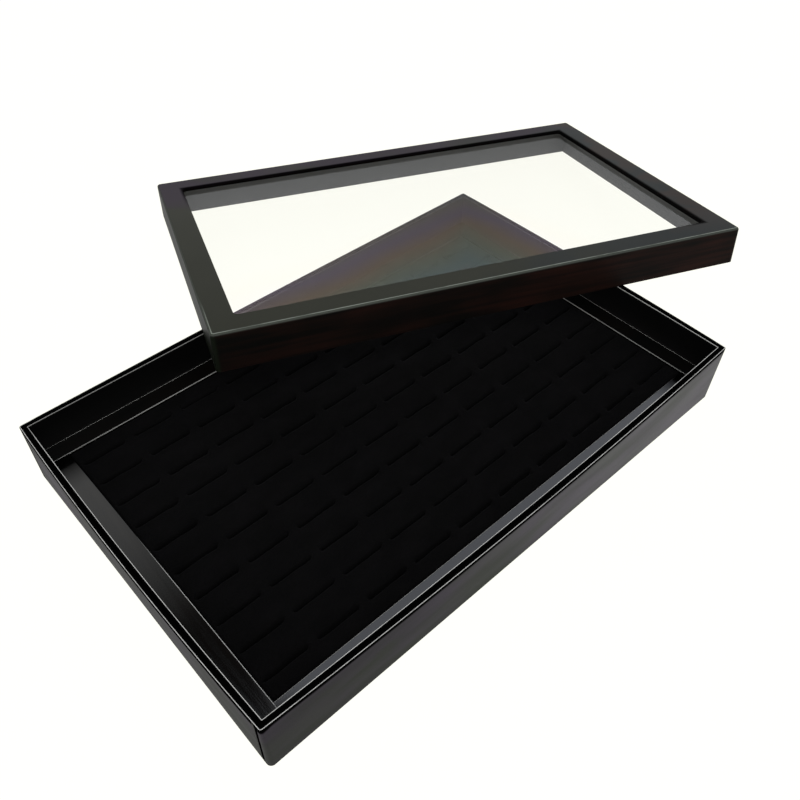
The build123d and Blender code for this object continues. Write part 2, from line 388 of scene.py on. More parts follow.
@dataclass(frozen=True)
class Satin(Finish):
    """Black satin paper: smooth, with soft clouds and long faint streaks of warm and cool black.

    What is worn, and what carries painted shade or a painted highlight, is matt and takes no gloss.
    """

    warm: Colour = (0.0170, 0.0105, 0.0220)
    cool: Colour = (0.0095, 0.0130, 0.0050)
    # A near-black for dark streaks and seams, also used as painted shade on the rim, the liners'
    # tops, the lid's far window edges and the ledge ends.
    dark_and_shade: Colour = (0.0009, 0.0009, 0.0009)
    # The colour of the pale lines: rubbed wear, and on the rims a painted highlight as well.
    pale: Colour = (0.62, 0.62, 0.60)
    roughness: float = 0.32
    ior: float = 1.36
    clouds: Triple = (46.0, 46.0, 22.0)
    streaks: Triple = (80.0, 80.0, 14.0)
    cloud_edges: Pair = (0.36, 0.64)
    streak_edges: Pair = (0.34, 0.68)
    streak_share: float = 0.4
    streak_depth: float = 0.2
    streak_roughness: float = 0.07
    fibre: float = 0.6
    fibre_roughness: float = 0.06
    relief: float = 0.05
    relief_strength: float = 0.25

    def build(self, graph: ShaderGraph) -> None:
        """Fill the material's tree."""
        cloud = graph.noise(self.clouds, detail=2.0).step(*self.cloud_edges)
        streak = graph.noise(self.streaks, detail=4.0, rough=0.55).step(*self.streak_edges)
        fibres = graph.noise(self.fibre, detail=3.0, rough=0.6)
        rough = self.roughness + self.streak_roughness * (1.0 - streak)
        rough = rough + self.fibre_roughness * (fibres - 0.5)
        relief = graph.bump(streak * 0.6 + fibres * 0.4, self.relief, self.relief_strength)
        tone = self.tone(graph, cloud, streak)
        sockets = {"Base Color": tone, "Roughness": rough, "Normal": relief, "IOR": self.ior}
        satin = graph.principled(sockets)
        wear_and_light = self.wear_and_light(graph)
        if wear_and_light is None:
            graph.surface(satin)
            return
        matt, shade = wear_and_light
        flat = graph.principled({"Base Color": graph.mix(shade, self.dark_and_shade, self.pale), **MATT})
        graph.surface(graph.blend(matt, satin, flat))

    def tone(self, graph: ShaderGraph, cloud: Value, streak: Value) -> NodeSocket:
        """The sound paper's colour.

        Args:
            graph: The material's tree.
            cloud: Soft clouds, from 0 to 1.
            streak: Long streaks, from 0 to 1.

        Returns:
            The colour.
        """
        share = cloud * (1.0 - self.streak_share) + streak * self.streak_share
        tone = graph.mix(share, self.cool, self.warm)
        return graph.mix(self.streak_depth * (1.0 - streak), tone, self.dark_and_shade)

    def wear_and_light(self, graph: ShaderGraph) -> WearAndLight:
        """Where the paper is worn and where shade or a highlight is painted on it, or nothing for
        paper that is plain all over.
        """
        return None


@dataclass(frozen=True)
class TrayPaper(Satin):
    """The tray's wrapping paper: a rim painted dark as shade, with a fine pale line along its outer
    edge that is rubbed wear and a painted highlight.
    """

    outline: Outline | None = None
    # The rim is painted dark as shade: how far below the top that shade fades in, and how much
    # further down it reaches on the left side.
    rim_shade_depth: Pair = (3.0, 1.2)
    left_rim_shade: float = 0.9
    # The pale line along the outer edge is rubbed wear and a painted highlight; on the far sides it
    # keeps only line_far of its strength.
    line_inside: float = 0.40
    line_width: float = 0.25
    line_far: float = 0.25
    seam_beside: float = 3.6
    seam_width: float = 1.8
    seam_slope: float = 0.02
    seam_sway: float = 0.5
    fold_shade: float = 0.13

    def wear_and_light(self, graph: ShaderGraph) -> WearAndLight:
        """The rim's painted shade, the line along it (rubbed wear and a painted highlight) and the
        seams.
        """
        inside = self.outline.to_outside(graph)
        below = self.outline.below(graph)
        from_left = graph.x + self.outline.half_length
        from_front = graph.y + self.outline.half_depth
        # Near the left and front sides the line is strongest: there its painted highlight is full.
        near = from_left.step(*NEAR_A_SIDE).at_least(from_front.step(*NEAR_A_SIDE))
        # A dark band of painted shade along the rim.
        rim = (below - self.left_rim_shade * from_left.step(6.0, 1.0)).step(*self.rim_shade_depth)
        line = stripe(inside - self.line_inside, 0.5 * self.line_width) * below.step(0.35, 0.2)
        strength = (self.line_far + (1.0 - self.line_far) * near) * graph.fray(9.0)
        groove, fold = self.seam(graph)
        shade = line * strength * self.outline.rubbing_and_highlight(graph) + fold * self.fold_shade
        return rim.at_least(groove).at_least(fold), shade

    def seam(self, graph: ShaderGraph) -> tuple[Value, Value]:
        """The line where one sheet ends over another, on the short sides near each corner.

        Args:
            graph: The material's tree.

        Returns:
            The dark groove and the pale edge beside it.
        """
        from_corner = self.outline.half_depth - abs(graph.y)
        short_side = (self.outline.half_length - abs(graph.x)).step(1.4, 0.6)
        upright = self.outline.below(graph).step(0.6, 1.2) * short_side
        sway = (graph.noise(6.0, detail=2.0) - 0.5) * self.seam_sway
        beside = from_corner - self.seam_beside + graph.z * self.seam_slope + sway
        half = 0.5 * self.seam_width
        groove = abs(beside).step(half + 0.2, half - 0.2) * upright
        fold = abs(beside - 1.9 * half).step(0.75 * half, 0.35 * half) * upright
        return groove, fold


@dataclass(frozen=True)
class LidPaper(Satin):
    """The lid's wrapping paper: streaked skirts, painted reflection tints, a painted highlight on
    the upper edge and painted shade on the far window edges.
    """

    outline: Outline | None = None
    border: float = 14.0
    warm: Colour = (0.0160, 0.0060, 0.0045)
    cool: Colour = (0.0034, 0.0034, 0.0028)
    # left, olive, teal, purple and brown are painted reflection tints, for the left skirt and parts
    # of the top.
    left: Colour = (0.0052, 0.0072, 0.0042)
    # The colour of the painted highlight on the upper edge.
    pale: Colour = (0.60, 0.66, 0.58)
    olive: Colour = (0.0150, 0.0165, 0.0085)
    teal: Colour = (0.0080, 0.0120, 0.0130)
    purple: Colour = (0.0165, 0.0085, 0.0195)
    brown: Colour = (0.0200, 0.0130, 0.0110)
    inner: Colour = (0.085, 0.086, 0.086)
    ior: float = 1.25
    streaks: Triple = (70.0, 70.0, 2.4)
    streak_depth: float = 0.6
    edge_radius: float = 1.5
    lined_below: Pair = (2.3, 2.8)
    # How pale the painted highlight on the crest of the upper edge is, and the painted sheen on its
    # rounded part.
    crest_highlight: float = 0.36
    roll_sheen: float = 0.115

    # Places of the painted reflection tints and of the painted highlight on the front edge, in
    # shares of half the length or half the depth.
    drift: float = 0.5
    left_from: Pair = (-0.978, -0.993)
    teal_from: Pair = (-0.3, 0.8)
    purple_from: Pair = (0.5, 1.0)
    brown_from: Pair = (0.84, 0.98)
    crest_from: Pair = (-0.5, -0.92)

    def tone(self, graph: ShaderGraph, cloud: Value, streak: Value) -> NodeSocket:
        """Streaked on the skirts and paler inside them, with painted reflection tints: greenish on
        the left skirt, and hues that drift over the top.
        """
        drift = (cloud - 0.5) * self.drift
        along, across = self.outline.shares(graph)
        skirts = super().tone(graph, cloud, streak)
        skirts = graph.mix(along.step(*self.left_from), skirts, self.left)
        top = graph.mix((along + drift).step(*self.teal_from), self.olive, self.teal)
        top = graph.mix((across + drift).step(*self.purple_from), top, self.purple)
        on_right = (along + drift - (1.0 - abs(across)) * 0.1).step(*self.brown_from)
        top = graph.mix(on_right * across.step(-1.05, -0.6), top, self.brown)
        below = self.outline.below(graph)
        on_top = below.step(0.8 * self.edge_radius, 0.3 * self.edge_radius)
        lined = self.outline.to_outside(graph).step(1.2, 1.8) * below.step(*self.lined_below)
        return graph.mix(lined, graph.mix(on_top, skirts, top), self.inner)

    def wear_and_light(self, graph: ShaderGraph) -> WearAndLight:
        """A painted highlight on the rounded upper edge, strongest near the front, and painted
        shade on the window's edge on the far sides.
        """
        inside = self.outline.to_outside(graph)
        below = self.outline.below(graph)
        fray = graph.noise(24.0, detail=3.0, rough=0.6)
        # A painted highlight along the crest of the upper edge, and a painted sheen on its rounded
        # part.
        crest = abs(inside - 0.75 * self.edge_radius).step(0.45, 0.15) * below.step(0.6, 0.3)
        roll = inside.step(0.9 * self.edge_radius, 0.4) * below.step(self.edge_radius, 0.6)
        along, across = self.outline.shares(graph)
        crest = crest * across.step(*self.crest_from)
        whole = 0.55 + 0.45 * fray.step(0.35, 0.55)
        shade = crest * self.crest_highlight * whole + roll * self.roll_sheen
        far = across.step(0.5, 0.8).at_least(along.step(0.8, 0.9))
        # Painted shade on the window's edge on the far sides.
        dark_and_shade = (self.border - inside).step(2.4, 0.2) * below.step(2.6, 2.3) * far
        return (crest * 0.9).at_least(roll * 0.8).at_least(dark_and_shade * 0.9), shade


@dataclass(frozen=True)
class LinerPaper(Satin):
    """Board faced with deep black paper. Its top is painted dark as shade, with a pale line along
    one edge that is rubbed wear and a painted highlight.
    """

    outline: Outline | None = None
    warm: Colour = (0.0024, 0.0020, 0.0022)
    cool: Colour = (0.0009, 0.0010, 0.0010)
    streaks: Triple = (110.0, 110.0, 3.2)
    streak_depth: float = 0.6
    line_width: float = 0.25
    line_back: float = 0.6
    ior: float = 1.4

    def wear_and_light(self, graph: ShaderGraph) -> WearAndLight:
        """The top's painted shade, and the line along its inner edge (rubbed wear and a painted
        highlight).
        """
        half = 0.5 * self.line_width
        outside = -1.0 * self.outline.to_outside(graph)
        below = self.outline.below(graph)
        # The line's painted highlight weakens towards the back, to line_back.
        at_back = (self.outline.half_depth - graph.y).step(*NEAR_A_SIDE)
        strength = (1.0 - (1.0 - self.line_back) * at_back) * graph.fray(11.0)
        line = stripe(outside - half, half) * below.step(0.4, 0.25)
        # The top is matt, painted dark as shade.
        return below.step(0.6, 0.2), line * strength * self.outline.rubbing_and_highlight(graph)


@dataclass(frozen=True)
class LedgeCard(Satin):
    """Folded black card with a rubbed line along both long edges of one strip.

    Millimetres. The pairs are places along the strip, where something begins and where it is full.
    """

    across: Axis = Axis.Y
    outer: float = 0.0
    inner: float = 0.0
    top: float = 0.0
    outer_rub: float = 0.8
    inner_rub: float = 0.45
    rub: Pair = (1000.0, 900.0)
    # Where along the strip its gloss fades out and it is painted dark as shade.
    dull: Pair = (1000.0, 1100.0)
    line_width: float = 0.32
    warm: Colour = (0.0030, 0.0022, 0.0018)
    cool: Colour = (0.0010, 0.0014, 0.0014)
    roughness: float = 0.06
    ior: float = 1.56
    clouds: Triple = (30.0, 30.0, 30.0)

    def wear_and_light(self, graph: ShaderGraph) -> WearAndLight:
        """The rubbed lines along the strip's edges, which fade in along the strip, and the end of
        the strip, painted dark as shade.
        """
        place, along = (graph.x, graph.y) if self.across is Axis.X else (graph.y, graph.x)
        on_top = (self.top - graph.z).step(0.45, 0.25) * graph.fray(13.0, depth=0.25)
        # Painted shade at the strip's end.
        dull = along.step(*self.dull)
        outer = stripe(place - self.outer, self.line_width) * self.outer_rub
        inner = stripe(place - self.inner, self.line_width) * self.inner_rub * (1.0 - dull)
        line = outer.at_least(inner) * along.step(*self.rub) * on_top
        return line.step(0.0, 0.1).at_least(dull), line


@dataclass(frozen=True)
class Velvet(Finish):
    """Deep black velvet: a short pile that takes in almost all light, with a faint sheen."""

    pile: Colour = (0.0005, 0.0005, 0.0006)
    tips: Colour = (0.0021, 0.0019, 0.0022)
    sheen: float = 0.014
    sheen_roughness: float = 0.35

    def build(self, graph: ShaderGraph) -> None:
        """Fill the material's tree."""
        brushed = graph.noise((16.0, 9.0, 9.0), detail=3.0)
        pile = graph.noise(0.35, detail=3.0, rough=0.75)
        tufts = graph.cells(0.5)
        lit = (pile * 0.6 + brushed * 0.4).step(0.40, 0.68)
        colour = graph.mix(lit, self.pile, self.tips)
        relief = graph.bump(pile * 0.7 + (1.0 - tufts) * 0.3, 0.25, 0.7)
        sockets = {
            "Base Color": colour,
            "Roughness": 0.92,
            "Normal": relief,
            "Specular IOR Level": 0.08,
            "Sheen Weight": self.sheen,
            "Sheen Roughness": self.sheen_roughness,
            "Sheen Tint": (0.75, 0.75, 0.85, 1.0),
        }
        graph.surface(graph.principled(sockets))


@dataclass(frozen=True)
class ClearFilm(Finish):
    """Thin clear film: it lets nearly everything through and lays a faint veil over dark things.

    Weak bands of colour bend round one point of it. Millimetres and degrees.
    """

    veil: float = 0.15
    most: float = 0.6
    roughness: float = 0.07
    bend: Pair = (31.0, 18.0)
    band_turn: float = 22.0
    band_reach: float = 85.0
    tints: tuple[tuple[float, Colour], ...] = (
        (0.0, (0.88, 0.90, 0.94)),
        (0.14, (0.92, 0.84, 0.80)),
        (0.28, (0.86, 0.74, 0.91)),
        (0.44, (0.97, 0.79, 0.63)),
        (0.60, (0.78, 0.84, 0.70)),
        (0.76, (0.68, 0.85, 0.83)),
        (1.0, (0.82, 0.82, 0.86)),
    )

    def build(self, graph: ShaderGraph) -> None:
        """Fill the material's tree."""
        turn = math.radians(self.band_turn)
        x, y = graph.x - self.bend[0], graph.y - self.bend[1]
        behind = y * math.cos(turn) - x * math.sin(turn)
        beside = x * math.cos(turn) + y * math.sin(turn)
        drift = (graph.noise(60.0, detail=1.0) - 0.5) * 0.3
        bands = (drift - behind.at_least(beside) / self.band_reach).clamped()
        tint = graph.ramp(bands, self.tints)
        relief = graph.bump(graph.noise((55.0, 40.0, 40.0), detail=1.0), 0.5, 0.3)
        fresnel = graph.value(graph.node("ShaderNodeLayerWeight", {"Blend": 0.3}), "Fresnel")
        share = (fresnel * self.veil).at_most(self.most)
        gloss = graph.principled(
            {"Base Color": tint, "Metallic": 1.0, "Roughness": self.roughness, "Normal": relief}
        )
        clear = graph.node("ShaderNodeBsdfTransparent", {"Color": (1.0, 1.0, 1.0, 1.0)})
        graph.surface(graph.blend(share, clear, gloss))


@dataclass(frozen=True)
class Greyboard(Finish):
    """Bare recycled board: grey-brown, matt, with flecks and a layered edge."""

    pulp: Colour = (0.33, 0.305, 0.27)
    fleck: Colour = (0.14, 0.125, 0.11)
    pale: Colour = (0.46, 0.43, 0.39)

    def build(self, graph: ShaderGraph) -> None:
        """Fill the material's tree."""
        clouds = graph.noise((9.0, 9.0, 1.0), detail=4.0)
        specks = graph.cells(1.7)
        fibres = graph.noise((1.2, 1.2, 0.25), detail=4.0, rough=0.7)
        colour = graph.mix(clouds.step(0.35, 0.7), self.pulp, self.pale)
        colour = graph.mix(specks.step(0.22, 0.12) * 0.8, colour, self.fleck)
        sockets = {
            "Base Color": colour,
            "Roughness": 0.82 + 0.12 * fibres,
            "Normal": graph.bump(fibres, 0.08, 0.6),
        }
        graph.surface(graph.principled(sockets))


@dataclass(frozen=True)
class Tape(Finish):
    """Paper or film tape: one colour with fine lines across it."""

    colour: Colour = (0.42, 0.30, 0.17)
    shade: Colour = (0.30, 0.21, 0.12)
    roughness: float = 0.6

    def build(self, graph: ShaderGraph) -> None:
        """Fill the material's tree."""
        lines = graph.noise((30.0, 30.0, 0.8), detail=4.0, rough=0.6)
        sockets = {
            "Base Color": graph.mix(lines.step(0.4, 0.65), self.shade, self.colour),
            "Roughness": self.roughness + 0.15 * lines,
            "Normal": graph.bump(lines, 0.05, 0.5),
        }
        graph.surface(graph.principled(sockets))


@dataclass(frozen=True)
class Tabletop(Finish):
    """The pale floor: white that barely darkens under the box."""

    glow: float = 1.06
    diffuse: float = 0.04
    white: Colour = (0.992, 0.992, 0.905)

    def build(self, graph: ShaderGraph) -> None:
        """Fill the material's tree."""
        paper = graph.noise(700.0, detail=1.0)
        white = graph.mix(paper, self.white, tuple(0.998 * part for part in self.white))
        light = graph.node("ShaderNodeEmission", {"Color": white, "Strength": self.glow})
        matt = graph.node("ShaderNodeBsdfDiffuse", {"Color": opaque((self.diffuse,) * 3)})
        both = {0: light.outputs[0], 1: matt.outputs[0]}
        graph.surface(graph.node("ShaderNodeAddShader", both))


# --- Pieces ---


def dress(node: str, material: Material) -> None:
    """Give a CAD node its material, in every slot of its mesh."""
    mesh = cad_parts[node].data
    mesh.materials.clear()
    mesh.materials.append(material)
    LOG.info("%s: %s", node, material.name)


@dataclass
class RingPad:
    """The velvet pad with its grid of slits, as one soft closed mesh. Sizes in millimetres."""

    foam: str = "foam_pad"
    facing: str = "velvet_facing"
    body: str = "tray"
    columns: int = 10
    rows: int = 10
    pitch_x: float = 26.4
    pitch_y: float = 15.9
    slit_length: float = 22.0
    slit_depth: float = 10.5
    slit_width: float = 0.5
    mouth_width: float = 3.4
    mouth_depth: float = 2.6
    edge: float = 1.3
    sag: float = 0.55
    seed: int = 7
    row_number: float = 17.0  # what a slit's number grows by from row to row

    # How much one slit differs from the next: shares of its mouth, lip and lean, and its stray.
    mouth_spread: float = 0.24
    lip_spread: float = 0.30
    lean: float = 0.22
    stray: float = 1.1
    stray_rates: Pair = (0.09, 3.7)

    # Steps of the grid: over one cell, to the ends of a slit's wall and lip, and over the border.
    # Bottom is the first step's share of the slit's width, and crowding draws closed ends together.
    steps: int = 24
    bottom: float = 0.3
    crowding: float = 1.7
    wall_end: float = 3.0
    lip_end: float = 8.0
    edge_steps: float = 4.0
    wall_steps: float = 3.0
    finish: Velvet = field(default_factory=lambda: Velvet("black_velvet"))

    SIZES: ClassVar[tuple[str, ...]] = (
        "length", "depth", "top", "underside", "pitch_x", "pitch_y", "slit_length", "slit_depth",
        "slit_width", "mouth_width", "mouth_depth", "edge", "sag",
    )
    COUNTS: ClassVar[tuple[str, ...]] = ("columns", "rows", "seed")

    def measure(self) -> None:
        """Read the pad's own size from its CAD nodes."""
        low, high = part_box(self.facing)
        self.length, self.depth = (high.x - low.x) / MM, (high.y - low.y) / MM
        self.top, self.underside = high.z / MM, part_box(self.foam)[0].z / MM

    def build(self, seat: Seat) -> None:
        """Make the pad and let it stand for the foam and its facing.

        Args:
            seat: The tray's frame.
        """
        self.measure()
        tree = PadGraph(self).build(self.finish.material(seat))
        sizes = {name: getattr(self, name) for name in self.SIZES + self.COUNTS}
        pad = grown("velvet_pad", tree, sizes)
        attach(pad, self.body)
        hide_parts(self.foam, self.facing)
        LOG.info("velvet_pad: %d slits, %d faces", self.columns * self.rows, len(pad.data.polygons))


@dataclass
class Lane:
    """One direction of the pad's grid, as a point of the grid sees it."""

    steps: Value  # how many steps the grid has
    side: Value  # -1 or 1
    over: Value  # steps past the field of slits
    cell: Value  # which slit the point belongs to
    share: Value  # -1 to 1 across that slit's cell
    centre: Value  # where the slit's middle is
    half: Value  # half of the cell's width


class PadGraph(Graph):
    """The node tree that grows the pad from a plain grid. Each size is a named input."""

    def __init__(self, pad: RingPad) -> None:
        """Make the tree and its inputs, for one pad."""
        tree = bpy.data.node_groups.new("slotted_pad", "GeometryNodeTree")
        tree.interface.new_socket("Geometry", in_out="OUTPUT", socket_type="NodeSocketGeometry")
        for names, kind in ((pad.SIZES, "NodeSocketFloat"), (pad.COUNTS, "NodeSocketInt")):
            for name in names:
                tree.interface.new_socket(name, in_out="INPUT", socket_type=kind)
        super().__init__(tree)
        given = self.node("NodeGroupInput")
        self.pad = pad
        self.size = SimpleNamespace(
            **{name: self.value(given, name) for name in pad.SIZES + pad.COUNTS}
        )
        self.across, self.along = self.lane(Axis.X), self.lane(Axis.Y)

    def through(self, kind: str, geometry: NodeSocket, **sockets: Any) -> NodeSocket:
        """Pass a geometry through a Geometry Nodes node, and give what comes out."""
        return self.node(f"GeometryNode{kind}", {0: geometry, **sockets}).outputs[0]

    def build(self, material: Material) -> NodeTree:
        """Fill the tree.

        Args:
            material: The pad's material.

        Returns:
            The tree.
        """
        sockets = {}
        for name, steps in (("X", self.across.steps), ("Y", self.along.steps)):
            sockets |= {f"Size {name}": steps, f"Vertices {name}": steps + 1.0}
        grid = self.node("GeometryNodeMeshGrid", sockets).outputs["Mesh"]
        moved = self.through("SetPosition", grid, Position=self.surface_point())
        smooth = self.through("SetShadeSmooth", self.with_underside(moved))
        whole = self.through("RealizeInstances", smooth)
        painted = self.through("SetMaterial", whole, Material=material)
        self.node("NodeGroupOutput", {0: painted})
        return self.tree

    def lane(self, axis: Axis) -> Lane:
        """Lay out one direction of the grid, whose points count steps from its middle.

        Args:
            axis: The direction.

        Returns:
            Its layout.
        """
        size, steps = self.size, float(self.pad.steps)
        x, y, _ = self.split(self.node("GeometryNodeInputPosition").outputs[0])
        if axis is Axis.X:
            step, count, pitch, extent = x, size.columns, size.pitch_x, size.length
        else:
            step, count, pitch, extent = y, size.rows, size.pitch_y, size.depth
        slits = count * steps
        inside = step.at_least(-0.5 * slits + CLOSE).at_most(0.5 * slits - CLOSE)
        cells = (inside + 0.5 * slits) / steps
        share = (cells - cells.floor) * 2.0 - 1.0
        centre = (cells.floor - (count - 1.0) * 0.5) * pitch
        last = (count - 1.0) * 0.5 * pitch
        outermost = ((abs(centre) - last + CLOSE).sign + 1.0) * 0.5
        outward = ((share * centre).sign + 1.0) * 0.5
        stretch = outermost * outward
        return Lane(
            steps=slits + 2.0 * (self.pad.edge_steps + self.pad.wall_steps),
            side=step.sign,
            over=(abs(step) - 0.5 * slits).at_least(0.0),
            cell=cells.floor,
            share=share,
            centre=centre,
            half=pitch * 0.5 * (1.0 - stretch) + (extent * 0.5 - size.edge - last) * stretch,
        )

    def surface_point(self) -> NodeSocket:
        """Work out where a point of the grid lies on the pad.

        Returns:
            The point, in metres.
        """
        pad, size, across, along = self.pad, self.size, self.across, self.along
        x = across.centre + across.half * across.share
        from_middle = abs(across.share * across.half)
        open_share = (1.0 - (from_middle / (size.slit_length * 0.5)) ** 2.0).at_least(0.0).sqrt
        mouth = size.mouth_width * 0.5 * (1.0 + pad.mouth_spread * self.chance(0))
        lip = size.mouth_depth * (1.0 + pad.lip_spread * self.chance(1))
        lean = pad.lean * self.chance(2)

        last = 0.5 * pad.steps
        step = abs(along.share) * last
        on_wall = (step / pad.wall_end).clamped()
        on_lip = ((step - pad.wall_end) / (pad.lip_end - pad.wall_end)).clamped()
        on_top = ((step - pad.lip_end) / (last - pad.lip_end)).clamped()
        turn = on_lip * QUARTER_TURN
        narrow = size.slit_width * 0.5
        spread = narrow * (pad.bottom * step.at_most(1.0) + (1.0 - pad.bottom) * on_wall)
        spread = spread + (mouth - narrow) * (1.0 - turn.cosine) + (along.half - mouth) * on_top
        plain = along.half * (step / last) ** pad.crowding
        out = plain * (1.0 - open_share) + spread * open_share
        wander = self.wander(x) * open_share * (1.0 - on_top)
        y = along.centre + along.share.sign * out + wander

        drop = (size.slit_depth - lip) * (1.0 - on_wall) + lip * (1.0 - turn.sine)
        drop = drop + size.sag * (1.0 - (on_top * QUARTER_TURN).sine)
        drop = drop * (1.0 + lean * along.share.sign * on_lip) * open_share
        return self.rounded(x, y, drop)

    def chance(self, salt: int) -> Value:
        """A number from -1 to 1 that is fixed for each slit."""
        number = self.across.cell + self.along.cell * self.pad.row_number
        sockets = {2: -1.0, 3: 1.0, "ID": number, "Seed": self.size.seed + float(salt)}
        return self.value(self.node("FunctionNodeRandomValue", sockets, {"data_type": "FLOAT"}), 1)

    def wander(self, x: Value) -> Value:
        """How far the slits stray from a straight line, in millimetres."""
        along_slit, from_row_to_row = self.pad.stray_rates
        row = self.along.centre * from_row_to_row
        place = self.vector(x * along_slit, row, self.size.seed * 1.0)
        return (self.noise_at(place, detail=1.0) - 0.5) * self.pad.stray

    def rounded(self, x: Value, y: Value, drop: Value) -> NodeSocket:
        """Fold the grid's border over the pad's rounded edge and down its walls.

        Args:
            x: Where the point lies across, before the edge.
            y: Where it lies along.
            drop: How far it lies below the top.

        Returns:
            The point, in metres.
        """
        pad, size, across, along = self.pad, self.size, self.across, self.along
        over = across.over.at_least(along.over)
        reach = (across.over ** 2.0 + along.over ** 2.0).sqrt.at_least(0.001)
        turn = (over / pad.edge_steps).clamped() * QUARTER_TURN
        walls = ((over - pad.edge_steps) / pad.wall_steps).clamped()
        out = size.edge * turn.sine
        fall = size.edge * (1.0 - turn.cosine)
        below = (size.top - size.edge - size.underside) * walls
        return self.vector(
            (x + across.side * out * across.over / reach) * MM,
            (y + along.side * out * along.over / reach) * MM,
            (size.top - drop * (1.0 - over.clamped()) - fall - below) * MM,
        )

    def with_underside(self, shell: NodeSocket) -> NodeSocket:
        """Close an open shell with a flat face at the pad's underside.

        Args:
            shell: The open shell.

        Returns:
            The closed shell.
        """
        open_edge = self.node(
            "FunctionNodeCompare",
            {2: self.node("GeometryNodeInputMeshEdgeNeighbors").outputs[0], 3: 1},
            {"data_type": "INT", "operation": "EQUAL"},
        )
        rim = self.through("MeshToCurve", shell, Selection=open_edge.outputs[0])
        face = self.node("GeometryNodeFillCurve", {"Curve": rim}, {"mode": "NGONS"})
        height = self.vector(0.0, 0.0, self.size.underside * MM)
        lifted = self.through("SetPosition", face.outputs[0], Offset=height)
        both = self.node("GeometryNodeJoinGeometry")
        for part in (shell, self.through("FlipFaces", lifted)):
            self.tree.links.new(part, both.inputs[0])
        return self.through("MergeByDistance", both.outputs[0], Distance=CLOSE * MM)


def grown(name: str, tree: NodeTree, sizes: dict[str, float | int]) -> Object:
    """Run a node tree and keep what it makes as a plain mesh.

    Args:
        name: The piece's name.
        tree: The tree, whose output is the piece.
        sizes: What its named inputs are set to.

    Returns:
        The piece, with no modifier left on it.
    """
    piece = bpy.data.objects.new(name, bpy.data.meshes.new(f"{name}_start"))
    bpy.context.scene.collection.objects.link(piece)
    modifier = piece.modifiers.new("grow", "NODES")
    modifier.node_group = tree
    for item in tree.interface.items_tree:
        if item.item_type == "SOCKET" and item.in_out == "INPUT":
            modifier[item.identifier] = sizes[item.name]
    bpy.context.view_layer.update()
    shown = piece.evaluated_get(bpy.context.evaluated_depsgraph_get())
    mesh = bpy.data.meshes.new_from_object(shown)
    piece.modifiers.remove(modifier)
    piece.data = mesh
    mesh.name = name
    return piece


@dataclass
class Tray:
    """The tray: its wrapping paper, lining boards, ledge and pad. Sizes in millimetres."""

    wrap: str = "tray_wrap"
    base: str = "base_paper"
    liner_slack: float = 0.6
    pad: RingPad = field(default_factory=RingPad)

    # How each strip of the ledge is worn, where its end is painted dark as shade, and how glossy
    # its card is.
    wear_and_shade: ClassVar[dict[Side, dict[str, Any]]] = {
        Side.FRONT: {"rub": (300.0, 200.0), "dull": (104.0, 128.0)},
        Side.BACK: {"rub": (0.0, -50.0)},
        Side.LEFT: {"rub": (26.0, -12.0), "dull": (58.0, 80.0), "inner_rub": 0.8, "ior": 1.47},
        Side.RIGHT: {"rub": (60.0, 20.0), "inner_rub": 0.34},
    }

    def outline(self) -> Outline:
        """The tray's outer size: straight at its base, bowed at its rim."""
        base_high, low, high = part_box(self.base)[1], *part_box(self.wrap)
        half_length, half_depth = base_high.x / MM, base_high.y / MM
        return Outline(
            half_length=half_length,
            half_depth=half_depth,
            height=high.z / MM,
            corner=1.2,
            left_bow=-low.x / MM - half_length,
            right_bow=high.x / MM - half_length,
            front_bow=-low.y / MM - half_depth,
            back_bow=high.y / MM - half_depth,
        )

    def inner_outline(self, outer: Outline) -> Outline:
        """The liners' inner faces, which follow the bow only in part."""
        bows = [f"{side.value}_bow" for side in Side]
        return replace(
            outer,
            half_length=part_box("ledge_right")[1].x / MM,
            half_depth=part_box("ledge_back")[1].y / MM,
            corner=0.0,
            **{bow: getattr(outer, bow) - self.liner_slack for bow in bows},
        )

    def build(self) -> None:
        """Dress the tray's nodes and make its pad."""
        seat = Seat.upright()
        outline = self.outline()
        LOG.info("tray: %s", outline)
        board = Greyboard("tray_greyboard").material(seat)
        lining = LinerPaper("lining_board", outline=self.inner_outline(outline)).material(seat)
        dress(self.wrap, TrayPaper("tray_paper", outline=outline).material(seat))
        dress(self.base, Satin("base_paper", streaks=(110.0, 4.0, 4.0)).material(seat))
        dress("corner_tapes", Tape("kraft_tape").material(seat))
        for side in Side:
            dress(f"liner_{side.value}", lining)
            dress(f"ledge_{side.value}", self.ledge(side).material(seat))
            dress(f"wall_{side.value}", board)
        dress("floor_board", board)
        dress("pad_backing_card", board)
        self.pad.build(seat)

    def ledge(self, side: Side) -> LedgeCard:
        """The card of one strip of the ledge.

        Args:
            side: Which strip.

        Returns:
            Its finish, with the places of its two long edges.
        """
        low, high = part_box(f"ledge_{side.value}")
        across = Axis.X if side in (Side.LEFT, Side.RIGHT) else Axis.Y
        edges = [getattr(corner, across.value) / MM for corner in (low, high)]
        inner, outer = sorted(edges, key=abs)
        streaks = (3.0, 70.0, 70.0) if across is Axis.X else (70.0, 3.0, 70.0)
        return LedgeCard(
            f"ledge_card_{side.value}",
            across=across,
            outer=outer,
            inner=inner,
            top=high.z / MM,
            streaks=streaks,
            **self.wear_and_shade[side],
        )


